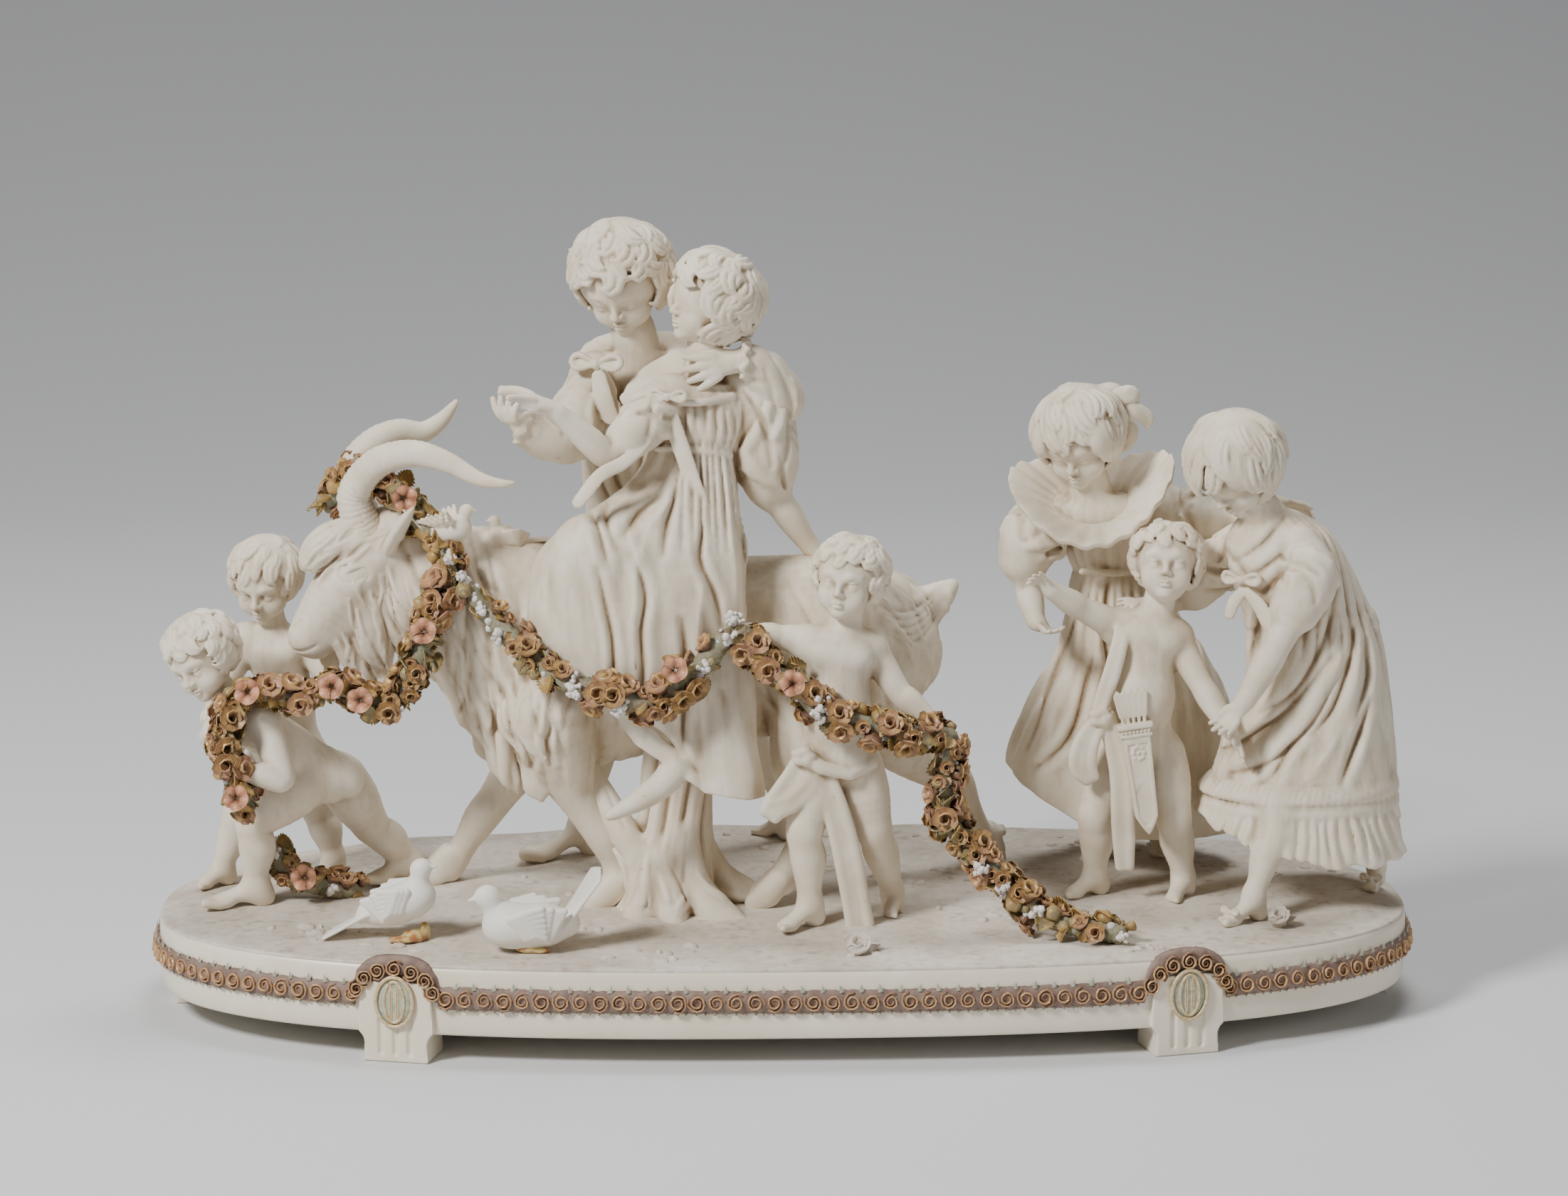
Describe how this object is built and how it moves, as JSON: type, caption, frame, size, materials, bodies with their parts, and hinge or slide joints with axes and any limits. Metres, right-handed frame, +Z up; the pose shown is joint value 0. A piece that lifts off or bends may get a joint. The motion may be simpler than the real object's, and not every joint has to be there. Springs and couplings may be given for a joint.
{
  "type": "porcelain figure group",
  "caption": "Biscuit porcelain group of children with a walking goat, doves and a rose garland, on an oval footed plinth.",
  "frame": {"origin": "on the floor under the middle of the plinth, at the bottom centre of the bounding box", "axes": "+Z up, X along the plinth with the goat walking towards -X, the front towards -Y"},
  "size_m": [0.6392, 0.2832, 0.3966],
  "materials": {
    "bisque": "unglazed biscuit porcelain, warm off-white with brown dirt in the folds",
    "dove_bisque": "unglazed biscuit porcelain, cleaner and whiter",
    "garland": "painted biscuit: ochre and tan roses and leaves with worn gilding",
    "rose_band": "painted pink, bronze and gold on mauve-brown"
  },
  "bodies": {
    "root": {"figure_group": "bisque", "ground_dove_left": "dove_bisque", "ground_dove_right": "dove_bisque"}
  },
  "joints": []
}
